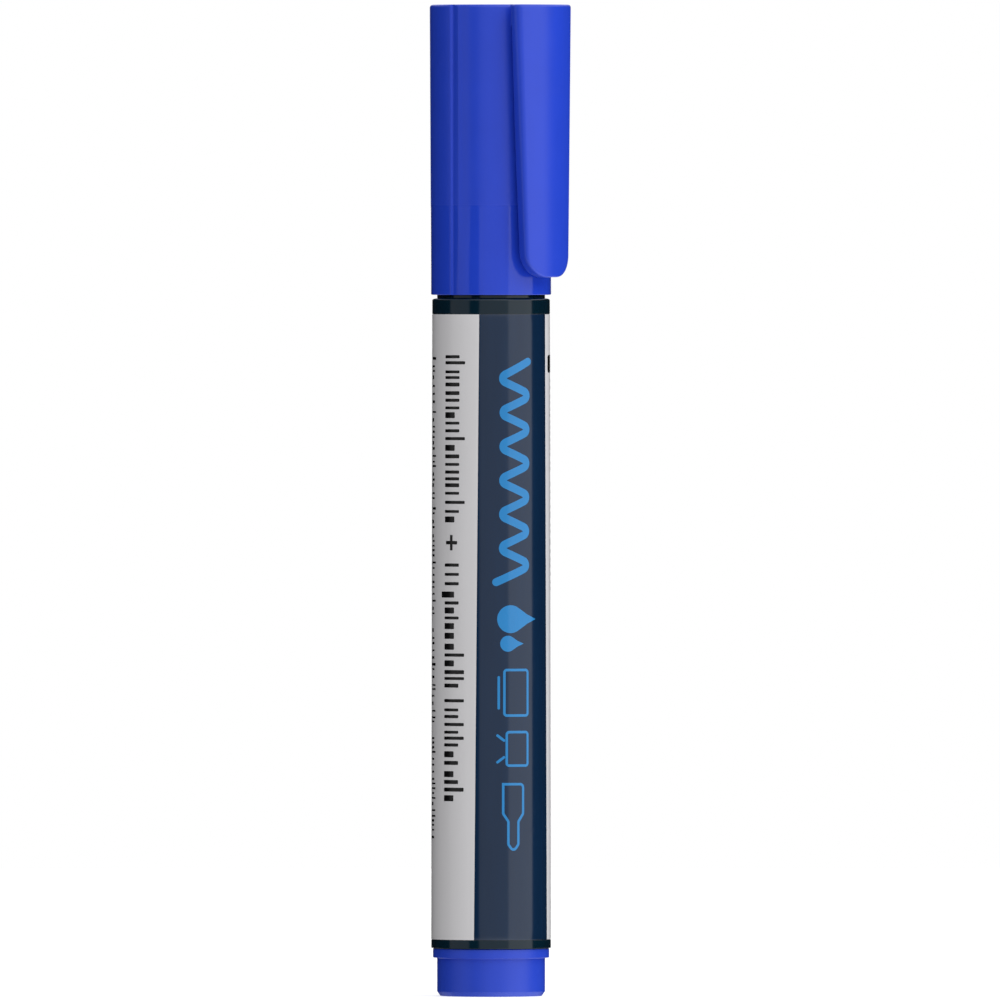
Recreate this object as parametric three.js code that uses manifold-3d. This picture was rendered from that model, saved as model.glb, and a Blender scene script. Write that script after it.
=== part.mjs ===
// A capped whiteboard marker, built piece by piece.
// Millimetres, +Z up along the marker's axis. The origin is the centre of the end
// plug's flat bottom. The cap is at the top, and its clip points along +X.

import * as THREE from "three";
import * as BufferGeometryUtils from "three/addons/utils/BufferGeometryUtils.js";
import Module from "manifold-3d";

const wasm = await Module();
wasm.setup();

// ---------------------------------------------------------------- driving dimensions

const SEG = 48; // facets round every turned piece, all in the same phase

// end plug
const PLUG_BOTTOM_R = 7.1; // flat that the marker stands on
const PLUG_R = 7.557; // post, the same size as the neck, so that the cap also posts here
const PLUG_CHAMFER_Z = 0.64;
const PLUG_FLANGE_R = 8.134;
const PLUG_FLANGE_Z0 = 5.36;
const PLUG_FLANGE_Z1 = 6.66;
const PLUG_SPIGOT_R = 7.24;
const PLUG_SPIGOT_Z1 = 14.2;
const PLUG_BORE_R = 6.1;
const PLUG_FLOOR = 1.4;

// barrel
const BARREL_Z0 = 6.72;
const BARREL_R0 = 8.397; // outer radius at the rear end
const BARREL_R1 = 8.253; // outer radius at the shoulder
const SHOULDER_Z = 97.64;
const SHOULDER_ROUND = 0.3;
const BARREL_BORE_R = 7.3;
const BARREL_BORE_Z1 = 95.6; // internal stop for the reservoir
const NECK_R = 7.57;
const NECK_BORE_R = 6.4;
const NECK_Z1 = 107.6;
const LAND_R = 5.6; // sealing land that the cap's inner seal closes on
const LAND_Z0 = 109.2;
const LAND_Z1 = 113.6;
const NOSE_R0 = 5.0; // cone that carries the nib
const NOSE_Z0 = 114.4;
const NOSE_R1 = 3.35;
const NOSE_Z1 = 124.4;
const NIB_BORE_R = 2.28;

// label, let into a shallow recess of the barrel
const LABEL_Z0 = 7.95;
const LABEL_Z1 = 95.42;
const LABEL_RECESS = 0.12;
const LABEL_THICK = 0.1;
const LABEL_END_GAP = 0.08;

// ink system
const CORE_R = 6.85;
const CORE_Z0 = 14.6;
const CORE_Z1 = 95.2;
const CORE_SOCKET_R = 2.32;
const CORE_SOCKET_Z0 = 83.6;
const FILM_GAP = 0.03;
const FILM_THICK = 0.12;
const NIB_R = 2.2;
const NIB_Z0 = 84.0;
const NIB_TIP_Z = 129.2;
const NIB_DOME = 2.7; // length of the bullet tip

// cap
const CAP_RIM_Z = 98.13;
const CAP_TOP_Z = 138.75;
const CAP_R_RIM = 8.418;
const CAP_FLARE_Z = 102.0; // plain below, flared above
const CAP_R_TOP = 8.585;
const CAP_TOP_ROUND = 0.45;
const CAP_BORE_R = 7.66; // over the neck
const CAP_BORE_STEP_Z = 111.6; // the bore narrows here to hold the inner seal
const CAP_SEAT_R = 7.3;
const CAP_INSIDE_TOP_Z = 137.25;

// clip, one moulding with the cap
const CLIP_R = 11.6; // outer face, an arc about the cap's axis
const CLIP_UNDER_R = 9.75; // underside, an arc about the same axis
const CLIP_LIP_X = 8.57; // flat lips along both edges of the underside
const CLIP_HALF_TOP = 5.76; // half width at the top
const CLIP_HALF_END = 4.64; // half width just above the free end's corners
const CLIP_END_Z = 100.6;
const CLIP_CORNER_R = 3.9;
const CLIP_ROOT_Z = 136.1; // the clip's root joins the cap above this height
const CLIP_ROOT_HALF = 4.2; // and is narrower than the clip, so the gap runs up to the top on both sides

// shallow lengthwise grooves on the cap's flanks
const GROOVE_AT = 83.3; // degrees from the clip, on both sides
const GROOVE_R = 1.2; // radius of the groove's section
const GROOVE_DEPTH_RIM = 0.12;
const GROOVE_DEPTH_TOP = 0.2;

// inner seal of the cap
const LINER_FLANGE_R = 7.25;
const LINER_FLANGE_Z0 = 111.75;
const LINER_FLANGE_Z1 = 113.0;
const LINER_LIP_Z = 110.3;
const LINER_LIP_R = 6.45;
const LINER_R = 6.3;
const LINER_SEAL_R = 5.66; // runs on the sealing land
const LINER_SEAL_Z1 = 114.2;
const LINER_BORE_R = 5.25;
const LINER_INSIDE_TOP_Z = 135.1;
const LINER_TOP_Z = 137.15;
const LINER_HEAD_R = 5.2;

// ---------------------------------------------------------------- materials

const paint = (color, roughness, metalness = 0) =>
  new THREE.MeshStandardMaterial({ color, roughness, metalness });

const BLUE = paint(0x2f50d4, 0.28);
const BLUE_PLUG = paint(0x2f50d0, 0.32);
const NAVY = paint(0x14222e, 0.3);
const LABEL = paint(0xd8d6d8, 0.38);
const SEAL = paint(0xe4e6e6, 0.5);
const NIB_BLUE = paint(0x20307a, 0.85);
const FIBRE = paint(0x24357f, 0.95);
const FILM = paint(0xdfe4ea, 0.25);

// ---------------------------------------------------------------- helpers

const group = new THREE.Group();

function add(name, geometry, material) {
  const mesh = new THREE.Mesh(geometry, material);
  mesh.name = name;
  group.add(mesh);
  return mesh;
}

// A turned solid about Z. The points are [radius, height], in order from the lower
// axis outward, up and back, and they close on the axis or on themselves.
function turned(points) {
  const loop = points.map(([r, z]) => new THREE.Vector2(r, z));
  if (points[0][0] > 0) loop.push(loop[0].clone());
  const geometry = new THREE.LatheGeometry(loop, SEG);
  geometry.rotateX(Math.PI / 2);
  geometry.scale(1, -1, 1);
  // The mirror turns the faces inside out, and this turns them back.
  const index = geometry.getIndex();
  for (let i = 0; i < index.count; i += 3) {
    const a = index.getX(i);
    index.setX(i, index.getX(i + 2));
    index.setX(i + 2, a);
  }
  return tidy(geometry);
}

// Merges the shared vertices, drops the triangles that have no area, and makes sure
// that the volume is positive, so that the faces point out.
function tidy(source) {
  let geometry = source.clone();
  geometry.deleteAttribute("normal");
  geometry.deleteAttribute("uv");
  geometry = BufferGeometryUtils.mergeVertices(geometry, 1e-4);
  const index = geometry.getIndex();
  const p = geometry.getAttribute("position");
  const keep = [];
  let volume = 0;
  const [a, b, c] = [new THREE.Vector3(), new THREE.Vector3(), new THREE.Vector3()];
  for (let i = 0; i < index.count; i += 3) {
    const t = [index.getX(i), index.getX(i + 1), index.getX(i + 2)];
    if (t[0] === t[1] || t[1] === t[2] || t[2] === t[0]) continue;
    keep.push(...t);
    a.fromBufferAttribute(p, t[0]);
    b.fromBufferAttribute(p, t[1]);
    c.fromBufferAttribute(p, t[2]);
    volume += a.dot(b.cross(c));
  }
  if (volume < 0) {
    for (let i = 0; i < keep.length; i += 3) {
      const t = keep[i];
      keep[i] = keep[i + 2];
      keep[i + 2] = t;
    }
  }
  geometry.setIndex(keep);
  geometry.computeVertexNormals();
  return geometry;
}

function solid(geometry) {
  const g = tidy(geometry);
  return new wasm.Manifold(
    new wasm.Mesh({
      numProp: 3,
      vertProperties: new Float32Array(g.getAttribute("position").array),
      triVerts: new Uint32Array(g.getIndex().array),
    }),
  );
}

function geometryOf(manifold) {
  const mesh = manifold.getMesh();
  const n = mesh.vertProperties.length / mesh.numProp;
  const position = new Float32Array(n * 3);
  for (let i = 0; i < n; i++) {
    for (let k = 0; k < 3; k++) position[3 * i + k] = mesh.vertProperties[mesh.numProp * i + k];
  }
  const geometry = new THREE.BufferGeometry();
  geometry.setAttribute("position", new THREE.BufferAttribute(position, 3));
  geometry.setIndex(Array.from(mesh.triVerts));
  geometry.computeVertexNormals();
  return geometry;
}

const lerp = (a, b, t) => a + (b - a) * t;

// Points of a rounded corner, from angle a0 to a1 in degrees.
function corner(cr, cz, radius, a0, a1, steps) {
  const out = [];
  for (let i = 0; i <= steps; i++) {
    const a = (lerp(a0, a1, i / steps) * Math.PI) / 180;
    out.push([cr + radius * Math.cos(a), cz + radius * Math.sin(a)]);
  }
  return out;
}

const barrelR = (z) => lerp(BARREL_R0, BARREL_R1, (z - BARREL_Z0) / (SHOULDER_Z - BARREL_Z0));

// ---------------------------------------------------------------- end plug

add(
  "end_plug",
  turned([
    [0, 0],
    [PLUG_BOTTOM_R, 0],
    [PLUG_R, PLUG_CHAMFER_Z],
    [PLUG_R, PLUG_FLANGE_Z0 - 0.12],
    [PLUG_R + 0.12, PLUG_FLANGE_Z0],
    ...corner(PLUG_FLANGE_R - 0.18, PLUG_FLANGE_Z0 + 0.18, 0.18, -90, 0, 3),
    ...corner(PLUG_FLANGE_R - 0.14, PLUG_FLANGE_Z1 - 0.14, 0.14, 0, 90, 2),
    [PLUG_SPIGOT_R, PLUG_FLANGE_Z1],
    [PLUG_SPIGOT_R, 8.6],
    [PLUG_SPIGOT_R - 0.18, 8.9],
    [PLUG_SPIGOT_R - 0.18, 10.6],
    [PLUG_SPIGOT_R, 10.9],
    [PLUG_SPIGOT_R, 12.2],
    [PLUG_SPIGOT_R - 0.5, PLUG_SPIGOT_Z1],
    [PLUG_BORE_R, PLUG_SPIGOT_Z1],
    [PLUG_BORE_R, PLUG_FLOOR + 0.6],
    [PLUG_BORE_R - 0.6, PLUG_FLOOR],
    [0, PLUG_FLOOR],
  ]),
  BLUE_PLUG,
);

// ---------------------------------------------------------------- barrel

const recessZ0 = LABEL_Z0 - LABEL_END_GAP;
const recessZ1 = LABEL_Z1 + LABEL_END_GAP;

add(
  "barrel",
  turned([
    [BARREL_BORE_R, BARREL_Z0],
    [BARREL_R0 - 0.12, BARREL_Z0],
    [BARREL_R0, BARREL_Z0 + 0.12],
    [barrelR(recessZ0), recessZ0],
    [barrelR(recessZ0) - LABEL_RECESS, recessZ0],
    [barrelR(recessZ1) - LABEL_RECESS, recessZ1],
    [barrelR(recessZ1), recessZ1],
    ...corner(BARREL_R1 - SHOULDER_ROUND, SHOULDER_Z - SHOULDER_ROUND, SHOULDER_ROUND, 0, 90, 4),
    [NECK_R + 0.1, SHOULDER_Z],
    [NECK_R, SHOULDER_Z + 0.1],
    [NECK_R, NECK_Z1 - 0.5],
    [NECK_R - 0.35, NECK_Z1],
    [LAND_R + 0.6, NECK_Z1 + 0.15],
    [LAND_R, LAND_Z0],
    [LAND_R, LAND_Z1],
    [NOSE_R0 + 0.1, LAND_Z1 + 0.35],
    [NOSE_R0, NOSE_Z0],
    [NOSE_R1, NOSE_Z1 - 0.25],
    [NOSE_R1 - 0.25, NOSE_Z1],
    [NIB_BORE_R, NOSE_Z1],
    [NIB_BORE_R, 112.6],
    [4.2, 108.6],
    [NECK_BORE_R, 106.2],
    [NECK_BORE_R, BARREL_BORE_Z1],
    [BARREL_BORE_R, BARREL_BORE_Z1],
  ]),
  NAVY,
);

// ---------------------------------------------------------------- label

add(
  "barrel_label",
  turned([
    [barrelR(LABEL_Z0) - LABEL_THICK, LABEL_Z0],
    [barrelR(LABEL_Z0), LABEL_Z0],
    [barrelR(LABEL_Z1), LABEL_Z1],
    [barrelR(LABEL_Z1) - LABEL_THICK, LABEL_Z1],
  ]),
  LABEL,
);

// ---------------------------------------------------------------- ink system

add(
  "reservoir_core",
  turned([
    [0, CORE_Z0],
    [CORE_R, CORE_Z0],
    [CORE_R, CORE_Z1],
    [CORE_SOCKET_R, CORE_Z1],
    [CORE_SOCKET_R, CORE_SOCKET_Z0],
    [0, CORE_SOCKET_Z0],
  ]),
  FIBRE,
);

add(
  "reservoir_film",
  turned([
    [CORE_R + FILM_GAP, CORE_Z0],
    [CORE_R + FILM_GAP + FILM_THICK, CORE_Z0],
    [CORE_R + FILM_GAP + FILM_THICK, CORE_Z1],
    [CORE_R + FILM_GAP, CORE_Z1],
  ]),
  FILM,
);

const nibPoints = [
  [0, NIB_Z0],
  [NIB_R - 0.6, NIB_Z0],
  [NIB_R, NIB_Z0 + 0.9],
];
const domeZ = NIB_TIP_Z - NIB_DOME;
for (let i = 0; i <= 7; i++) {
  const a = (i / 7) * (Math.PI / 2);
  nibPoints.push([i === 7 ? 0 : NIB_R * Math.pow(Math.cos(a), 0.85), domeZ + NIB_DOME * Math.sin(a)]);
}
add("nib", turned(nibPoints), NIB_BLUE);

// ---------------------------------------------------------------- inner seal of the cap

add(
  "cap_liner",
  turned([
    [LINER_SEAL_R, LINER_LIP_Z],
    [LINER_LIP_R, LINER_LIP_Z],
    [LINER_LIP_R, LINER_FLANGE_Z0],
    [LINER_FLANGE_R - 0.1, LINER_FLANGE_Z0],
    [LINER_FLANGE_R, LINER_FLANGE_Z0 + 0.15],
    [LINER_FLANGE_R, LINER_FLANGE_Z1 - 0.15],
    [LINER_FLANGE_R - 0.15, LINER_FLANGE_Z1],
    [LINER_R, LINER_FLANGE_Z1],
    [LINER_R, 134.4],
    [LINER_HEAD_R, LINER_TOP_Z - 1.2],
    [LINER_HEAD_R, LINER_TOP_Z],
    [0, LINER_TOP_Z],
    [0, LINER_INSIDE_TOP_Z],
    [LINER_BORE_R - 0.7, LINER_INSIDE_TOP_Z],
    [LINER_BORE_R, LINER_INSIDE_TOP_Z - 0.7],
    [LINER_BORE_R, LINER_SEAL_Z1 + 0.5],
    [LINER_SEAL_R, LINER_SEAL_Z1],
  ]),
  SEAL,
);

// ---------------------------------------------------------------- cap with its clip

const flareR = (z) =>
  z <= CAP_FLARE_Z ? CAP_R_RIM : lerp(CAP_R_RIM, CAP_R_TOP, (z - CAP_FLARE_Z) / (CAP_TOP_Z - CAP_FLARE_Z));

const capBody = solid(
  turned([
    [0, CAP_RIM_Z],
    [CAP_R_RIM - 0.12, CAP_RIM_Z],
    [CAP_R_RIM, CAP_RIM_Z + 0.14],
    [CAP_R_RIM, CAP_FLARE_Z],
    ...corner(flareR(CAP_TOP_Z) - CAP_TOP_ROUND, CAP_TOP_Z - CAP_TOP_ROUND, CAP_TOP_ROUND, 0, 90, 4),
    [0, CAP_TOP_Z],
  ]),
);

const capBore = solid(
  turned([
    [0, CAP_RIM_Z - 1],
    [CAP_BORE_R + 0.22, CAP_RIM_Z - 1],
    [CAP_BORE_R + 0.22, CAP_RIM_Z],
    [CAP_BORE_R, CAP_RIM_Z + 0.35],
    [CAP_BORE_R, CAP_BORE_STEP_Z - 0.36],
    [CAP_SEAT_R, CAP_BORE_STEP_Z],
    [CAP_SEAT_R, CAP_INSIDE_TOP_Z - 0.5],
    [CAP_SEAT_R - 0.5, CAP_INSIDE_TOP_Z],
    [0, CAP_INSIDE_TOP_Z],
  ]),
);

// Everything from x = from out to an arc about the axis, and out to x = least where the
// arc is nearer than that, as a prism along Z.
function underArc(radius, from, least, z0, z1) {
  const half = 7.2;
  const shape = new THREE.Shape();
  shape.moveTo(from, -half);
  const steps = 24;
  for (let i = 0; i <= steps; i++) {
    const y = lerp(-half, half, i / steps);
    shape.lineTo(Math.max(least, Math.sqrt(radius * radius - y * y)), y);
  }
  shape.lineTo(from, half);
  shape.closePath();
  const geometry = new THREE.ExtrudeGeometry(shape, { depth: z1 - z0, bevelEnabled: false });
  geometry.translate(0, 0, z0);
  return geometry;
}

// The clip's outline seen along X, as a prism through the whole clip.
function clipOutline() {
  const shape = new THREE.Shape();
  const slope = (CLIP_HALF_TOP - CLIP_HALF_END) / (CAP_TOP_Z - (CLIP_END_Z + CLIP_CORNER_R));
  const halfAt = (z) => CLIP_HALF_TOP - slope * (CAP_TOP_Z - z);
  const r = CLIP_CORNER_R;
  const side = halfAt(CLIP_END_Z + r);
  shape.moveTo(halfAt(CAP_TOP_Z) - 0.3, CAP_TOP_Z);
  shape.lineTo(halfAt(CAP_TOP_Z), CAP_TOP_Z - 0.3);
  const steps = 7;
  for (let i = 0; i <= steps; i++) {
    const a = (i / steps) * (Math.PI / 2);
    shape.lineTo(side - r + r * Math.cos(a), CLIP_END_Z + r - r * Math.sin(a));
  }
  for (let i = steps; i >= 0; i--) {
    const a = (i / steps) * (Math.PI / 2);
    shape.lineTo(-(side - r + r * Math.cos(a)), CLIP_END_Z + r - r * Math.sin(a));
  }
  shape.lineTo(-halfAt(CAP_TOP_Z), CAP_TOP_Z - 0.3);
  shape.lineTo(-(halfAt(CAP_TOP_Z) - 0.3), CAP_TOP_Z);
  shape.closePath();
  const geometry = new THREE.ExtrudeGeometry(shape, { depth: 12, bevelEnabled: false });
  // The shape's x is the object's y, its y is the object's z, and it is extruded along x.
  geometry.applyMatrix4(new THREE.Matrix4().makeBasis(
    new THREE.Vector3(0, 1, 0),
    new THREE.Vector3(0, 0, 1),
    new THREE.Vector3(1, 0, 0),
  ));
  return geometry;
}

const blade = solid(underArc(CLIP_R, 4.5, 0, CLIP_END_Z - 1, CAP_TOP_Z))
  .intersect(solid(clipOutline()))
  .subtract(solid(underArc(CLIP_UNDER_R, 2.0, CLIP_LIP_X, CLIP_END_Z - 2, CAP_TOP_Z + 1)));

const rootBlock = new THREE.BoxGeometry(5.7, 2 * CLIP_ROOT_HALF, CAP_TOP_Z - CLIP_ROOT_Z);
rootBlock.translate(4.5 + 5.7 / 2, 0, (CAP_TOP_Z + CLIP_ROOT_Z) / 2);

// A round bar along the cap that cuts the groove on one flank.
function grooveBar(side) {
  const z0 = CAP_RIM_Z - 1;
  const z1 = CAP_TOP_Z + 1;
  const r0 = CAP_R_RIM + GROOVE_R - GROOVE_DEPTH_RIM;
  const r1 = CAP_R_TOP + GROOVE_R - GROOVE_DEPTH_TOP;
  const bar = new THREE.CylinderGeometry(GROOVE_R, GROOVE_R, z1 - z0, 32);
  bar.rotateX(Math.PI / 2);
  // The bar leans outward with the cap's flare.
  bar.rotateY(Math.atan2(r1 - r0, z1 - z0));
  bar.translate((r0 + r1) / 2, 0, (z0 + z1) / 2);
  bar.rotateZ((side * GROOVE_AT * Math.PI) / 180);
  return bar;
}

add(
  "cap_shell",
  geometryOf(
    capBody
      .add(blade)
      .add(solid(rootBlock))
      .subtract(capBore)
      .subtract(solid(grooveBar(1)))
      .subtract(solid(grooveBar(-1))),
  ),
  BLUE,
);

export default group;
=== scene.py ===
import math

import bmesh
import bpy
import numpy as np
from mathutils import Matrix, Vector


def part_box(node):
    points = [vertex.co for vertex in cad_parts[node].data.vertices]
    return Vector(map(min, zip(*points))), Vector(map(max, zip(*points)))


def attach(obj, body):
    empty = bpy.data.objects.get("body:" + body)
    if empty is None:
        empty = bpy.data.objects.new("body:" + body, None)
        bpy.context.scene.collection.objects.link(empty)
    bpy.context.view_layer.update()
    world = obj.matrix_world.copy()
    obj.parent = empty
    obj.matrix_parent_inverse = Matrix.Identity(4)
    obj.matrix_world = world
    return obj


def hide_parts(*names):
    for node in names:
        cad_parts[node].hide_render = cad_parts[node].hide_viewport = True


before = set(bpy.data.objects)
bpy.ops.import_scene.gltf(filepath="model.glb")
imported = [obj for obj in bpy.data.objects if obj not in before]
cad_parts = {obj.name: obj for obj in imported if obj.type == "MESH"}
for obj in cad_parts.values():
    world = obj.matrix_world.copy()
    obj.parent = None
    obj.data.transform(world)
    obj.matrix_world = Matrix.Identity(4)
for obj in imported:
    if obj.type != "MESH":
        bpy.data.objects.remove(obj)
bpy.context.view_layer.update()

MM = 0.001
scene = bpy.context.scene

# ------------------------------------------------------------------ dimensions, in mm
# They repeat the design's own numbers, and the imported cap's box checks its top and rim height below.

BARREL_Z0, BARREL_R0, BARREL_R1, SHOULDER_Z = 6.72, 8.397, 8.253, 97.64
LABEL_Z0, LABEL_Z1 = 7.95, 95.42
CAP_RIM_Z, CAP_TOP_Z, CAP_R_RIM, CAP_R_TOP, CAP_FLARE_Z = 98.13, 138.75, 8.418, 8.585, 102.0
CLIP_R, CLIP_UNDER_R, CLIP_LIP = 11.6, 9.75, 8.57
CLIP_HALF_TOP, CLIP_HALF_END, CLIP_END_Z, CLIP_CORNER = 5.56, 4.37, 100.6, 3.43
CLIP_ROOT_Z, CLIP_ROOT_HALF = 136.1, 4.2

low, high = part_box("cap_shell")
if abs(high.z / MM - CAP_TOP_Z) > 0.02 or abs(low.z / MM - CAP_RIM_Z) > 0.02:
    raise RuntimeError("the packed cap isn't the size that this script builds")


def barrel_r(z):
    return BARREL_R0 + (BARREL_R1 - BARREL_R0) * (z - BARREL_Z0) / (SHOULDER_Z - BARREL_Z0)


# ------------------------------------------------------------------ mesh helpers


def fillet(points, closed=False, step_deg=12.0):
    """A path of (r, z) or (r, z, radius) corners, with an arc at each corner that has a radius."""
    pts = [(p[0], p[1], p[2] if len(p) > 2 else 0.0) for p in points]
    out = []
    n = len(pts)
    for i, (x, y, rad) in enumerate(pts):
        if rad <= 0 or (not closed and i in (0, n - 1)):
            out.append((x, y))
            continue
        px, py, _ = pts[i - 1]
        nx, ny, _ = pts[(i + 1) % n]
        a = np.array([px - x, py - y], float)
        b = np.array([nx - x, ny - y], float)
        la, lb = np.linalg.norm(a), np.linalg.norm(b)
        a, b = a / la, b / lb
        angle = math.acos(max(-1.0, min(1.0, float(a @ b))))
        if math.pi - angle < math.radians(1.0):
            out.append((x, y))
            continue
        cut = min(rad / math.tan(angle / 2), 0.48 * la, 0.48 * lb)
        r = cut * math.tan(angle / 2)
        bis = (a + b) / np.linalg.norm(a + b)
        c = np.array([x, y]) + bis * (r / math.sin(angle / 2))
        p0, p1 = np.array([x, y]) + a * cut, np.array([x, y]) + b * cut
        t0 = math.atan2(p0[1] - c[1], p0[0] - c[0])
        t1 = math.atan2(p1[1] - c[1], p1[0] - c[0])
        d = (t1 - t0 + math.pi) % (2 * math.pi) - math.pi
        steps = max(2, int(math.ceil(abs(math.degrees(d)) / step_deg)))
        for k in range(steps + 1):
            t = t0 + d * k / steps
            out.append((c[0] + r * math.cos(t), c[1] + r * math.sin(t)))
    return out


def subdivide(path, longest, closed=False):
    out = []
    n = len(path)
    for i in range(n):
        out.append(path[i])
        if i == n - 1 and not closed:
            break
        a, b = np.array(path[i]), np.array(path[(i + 1) % n])
        d = float(np.linalg.norm(b - a))
        k = int(math.ceil(d / longest))
        for j in range(1, k):
            out.append(tuple(a + (b - a) * j / k))
    return out


def even_angles(n, extra=(), width=0.0, inner=0):
    """n even angles, with more of them within width of each extra angle, all in radians."""
    angles = [2 * math.pi * i / n for i in range(n)]
    for e in extra:
        for k in range(inner):
            angles.append((e + width * (2 * k / (inner - 1) - 1)) % (2 * math.pi))
    angles = sorted(angles)
    kept = [angles[0]]
    for a in angles[1:]:
        if a - kept[-1] > 1e-4:
            kept.append(a)
    return kept


def mesh_object(name, verts, faces, smooth_deg=32.0):
    mesh = bpy.data.meshes.new(name)
    mesh.from_pydata([tuple(v) for v in verts], [], faces)
    mesh.validate()
    bm = bmesh.new()
    bm.from_mesh(mesh)
    bmesh.ops.recalc_face_normals(bm, faces=bm.faces)
    bm.to_mesh(mesh)
    bm.free()
    finish_shading(mesh, smooth_deg)
    obj = bpy.data.objects.new(name, mesh)
    scene.collection.objects.link(obj)
    return obj


def finish_shading(mesh, smooth_deg):
    mesh.polygons.foreach_set("use_smooth", [True] * len(mesh.polygons))
    mesh.set_sharp_from_angle(angle=math.radians(smooth_deg))
    mesh.update()


def lathe(name, path, angles, closed=False, push=None, smooth_deg=32.0):
    """A turned solid in metres from an (r, z) path in mm. push(r, z, angle) returns a new radius."""
    verts, rings = [], []
    for r, z in path:
        if r < 1e-6:
            rings.append([len(verts)])
            verts.append((0.0, 0.0, z * MM))
            continue
        ring = []
        for a in angles:
            rr = push(r, z, a) if push else r
            ring.append(len(verts))
            verts.append((rr * math.cos(a) * MM, rr * math.sin(a) * MM, z * MM))
        rings.append(ring)
    faces = []
    pairs = list(zip(rings, rings[1:])) + ([(rings[-1], rings[0])] if closed else [])
    n = len(angles)
    for lo, hi in pairs:
        if len(lo) == 1 and len(hi) == 1:
            continue
        for i in range(n):
            j = (i + 1) % n
            if len(lo) == 1:
                faces.append((lo[0], hi[j], hi[i]))
            elif len(hi) == 1:
                faces.append((lo[i], lo[j], hi[0]))
            else:
                faces.append((lo[i], lo[j], hi[j], hi[i]))
    return mesh_object(name, verts, faces, smooth_deg)


# ------------------------------------------------------------------ node helpers


class Nodes:
    """A short way to write a material's nodes."""

    def __init__(self, name, world=False):
        self.block = bpy.data.worlds.new(name) if world else bpy.data.materials.new(name)
        self.block.use_nodes = True
        self.tree = self.block.node_tree
        self.tree.nodes.clear()
        self.count = 0

    def add(self, kind, **values):
        node = self.tree.nodes.new(kind)
        node.location = (220 * (self.count % 12), -260 * (self.count // 12))
        self.count += 1
        for key, value in values.items():
            setattr(node, key, value)
        return node

    def put(self, socket, value):
        if hasattr(value, "is_output"):
            self.tree.links.new(value, socket)
        else:
            socket.default_value = value

    def math(self, operation, a, b=0.0, c=None, clamp=False):
        node = self.add("ShaderNodeMath", operation=operation, use_clamp=clamp)
        self.put(node.inputs[0], a)
        self.put(node.inputs[1], b)
        if c is not None:
            self.put(node.inputs[2], c)
        return node.outputs[0]

    def ramp(self, value, lo, hi, to_lo=0.0, to_hi=1.0, smooth=True):
        node = self.add("ShaderNodeMapRange", clamp=True)
        node.interpolation_type = "SMOOTHSTEP" if smooth else "LINEAR"
        self.put(node.inputs["Value"], value)
        self.put(node.inputs["From Min"], lo)
        self.put(node.inputs["From Max"], hi)
        self.put(node.inputs["To Min"], to_lo)
        self.put(node.inputs["To Max"], to_hi)
        return node.outputs[0]

    def mix(self, factor, a, b, blend="MIX"):
        node = self.add("ShaderNodeMix", data_type="RGBA", blend_type=blend)
        self.put(node.inputs[0], factor)
        self.put(node.inputs[6], a)
        self.put(node.inputs[7], b)
        return node.outputs[2]

    def noise(self, vector, scale, detail=2.0, roughness=0.5, distortion=0.0):
        node = self.add("ShaderNodeTexNoise")
        self.put(node.inputs["Vector"], vector)
        self.put(node.inputs["Scale"], scale)
        self.put(node.inputs["Detail"], detail)
        self.put(node.inputs["Roughness"], roughness)
        self.put(node.inputs["Distortion"], distortion)
        return node.outputs["Fac"]

    def scaled(self, vector, scale, location=(0, 0, 0), rotation=(0, 0, 0)):
        node = self.add("ShaderNodeMapping")
        self.put(node.inputs["Vector"], vector)
        node.inputs["Scale"].default_value = scale
        node.inputs["Location"].default_value = location
        node.inputs["Rotation"].default_value = rotation
        return node.outputs[0]

    def bump(self, height, distance, strength=1.0, normal=None):
        node = self.add("ShaderNodeBump")
        self.put(node.inputs["Height"], height)
        node.inputs["Distance"].default_value = distance
        node.inputs["Strength"].default_value = strength
        if normal is not None:
            self.put(node.inputs["Normal"], normal)
        return node.outputs[0]


def grey(v):
    return (v, v, v, 1.0)


def rgb(r, g, b):
    return (r, g, b, 1.0)


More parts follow.
